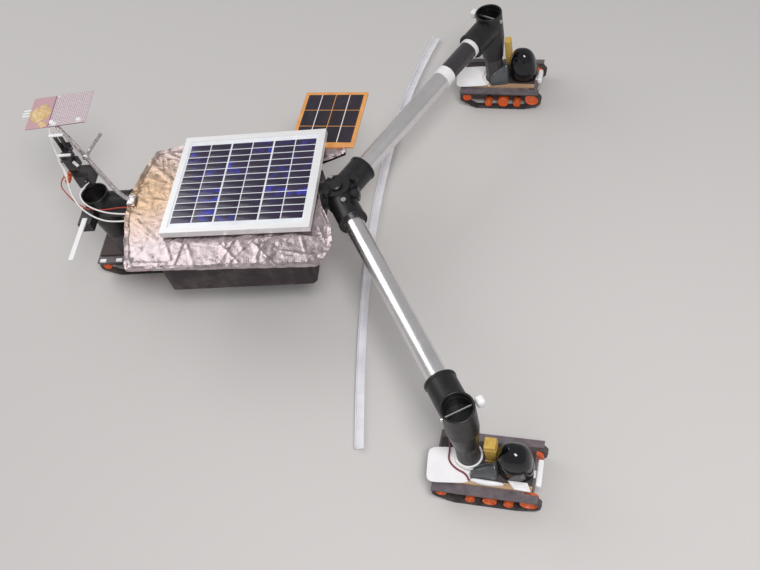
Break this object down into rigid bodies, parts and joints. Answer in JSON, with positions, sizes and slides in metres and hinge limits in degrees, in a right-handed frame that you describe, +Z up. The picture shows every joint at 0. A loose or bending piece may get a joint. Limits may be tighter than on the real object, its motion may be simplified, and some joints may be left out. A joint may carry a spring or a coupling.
{
  "type": "planetary rover prototype",
  "caption": "Three-legged rover prototype: tracked drive modules on a Y of silver tubes, foil deck with solar panels, small servo arm and a board on a boom.",
  "frame": {"origin": "on the floor, in the middle of the footprint", "axes": "+Z up; +X from the arm end towards the open side of the V of tubes; +Y towards the far tube"},
  "size_m": [0.9328, 1.0958, 0.326],
  "materials": {
    "black_fitting": "satin moulded plastic",
    "silver_tube": "satin",
    "white_plastic": "smooth",
    "dark_band": "glossy film",
    "steel": "plated",
    "dark_box": "dull black",
    "foil": "crinkled foil",
    "panel_frame": "anodised",
    "white_sheet": "smooth backsheet under clear cover",
    "solar_cell": "smooth, dark blue",
    "orange_board": "smooth",
    "small_cell": "smooth",
    "rubber": "dull",
    "strip_plastic": "smooth",
    "perfboard": "dull, drilled",
    "glue": "hot glue",
    "servo_black": "moulded",
    "module_grey": "dull",
    "belt_rubber": "dull",
    "orange_roller": "moulded",
    "wood": "raw plywood edge",
    "white_card": "card",
    "dome_black": "glossy",
    "cover_grey": "dull",
    "yellow_plastic": "moulded",
    "post_grey": "smooth",
    "wire_white": "insulated wire",
    "wire_red": "insulated wire"
  },
  "bodies": {
    "frame": {"arm_base": "servo_black", "body_box": "dark_box", "bolts": "steel", "boom": "foil", "box_lid": "dark_box", "deck": "foil", "head_board": "perfboard", "head_glue": "glue", "head_pins": "white_plastic", "head_wires": "wire_white", "hub": "black_fitting", "knobs": "white_plastic", "panel_cells": "solar_cell", "panel_frame": "panel_frame", "panel_laminate": "white_sheet", "panel_pads": "rubber", "rear_bar": "white_plastic", "red_lead": "wire_red", "saddles": "black_fitting", "small_board": "orange_board", "small_cells": "small_cell", "strip": "strip_plastic", "tees": "black_fitting", "tube_band": "dark_band", "tube_rings": "white_plastic", "tubes": "silver_tube"},
    "arm": {"arm_bars": "white_plastic", "arm_link": "servo_black", "arm_servo": "servo_black", "finger_fixed": "servo_black"},
    "far_module": {"far_belts": "belt_rubber", "far_chassis": "module_grey", "far_cover": "cover_grey", "far_dome": "dome_black", "far_motor": "yellow_plastic", "far_plate": "wood", "far_post": "post_grey", "far_rollers": "orange_roller", "far_white": "white_card", "far_wires": "wire_white"},
    "finger": {"finger_moving": "servo_black"},
    "near_module": {"near_belts": "belt_rubber", "near_chassis": "module_grey", "near_cover": "cover_grey", "near_dome": "dome_black", "near_motor": "yellow_plastic", "near_plate": "wood", "near_post": "post_grey", "near_rollers": "orange_roller", "near_white": "white_card", "near_wires": "wire_white"},
    "rear_module": {"rear_belts": "belt_rubber", "rear_chassis": "module_grey", "rear_cover": "cover_grey", "rear_dome": "dome_black", "rear_motor": "yellow_plastic", "rear_plate": "wood", "rear_post": "post_grey", "rear_rollers": "orange_roller", "rear_white": "white_card"}
  },
  "joints": [
    {"name": "near_swivel", "type": "hinge", "parent": "frame", "child": "near_module", "pos_m": [0.32642, -0.47548, 0.107], "axis": [0, 0, 1], "range_deg": [-30, 30]},
    {"name": "far_swivel", "type": "hinge", "parent": "frame", "child": "far_module", "pos_m": [0.36272, 0.35588, 0.107], "axis": [0, 0, 1], "range_deg": [-30, 30]},
    {"name": "rear_swivel", "type": "hinge", "parent": "frame", "child": "rear_module", "pos_m": [-0.33829, -0.03466, 0.107], "axis": [0, 0, 1], "range_deg": [-30, 30]},
    {"name": "arm_pitch", "type": "hinge", "parent": "frame", "child": "arm", "pos_m": [-0.36878, -0.00666, 0.234], "axis": [1, 0, 0], "range_deg": [0, 40]},
    {"name": "finger_open", "type": "hinge", "parent": "arm", "child": "finger", "pos_m": [-0.35808, -0.00066, 0.296], "axis": [0, 1, 0], "range_deg": [0, 35]}
  ]
}
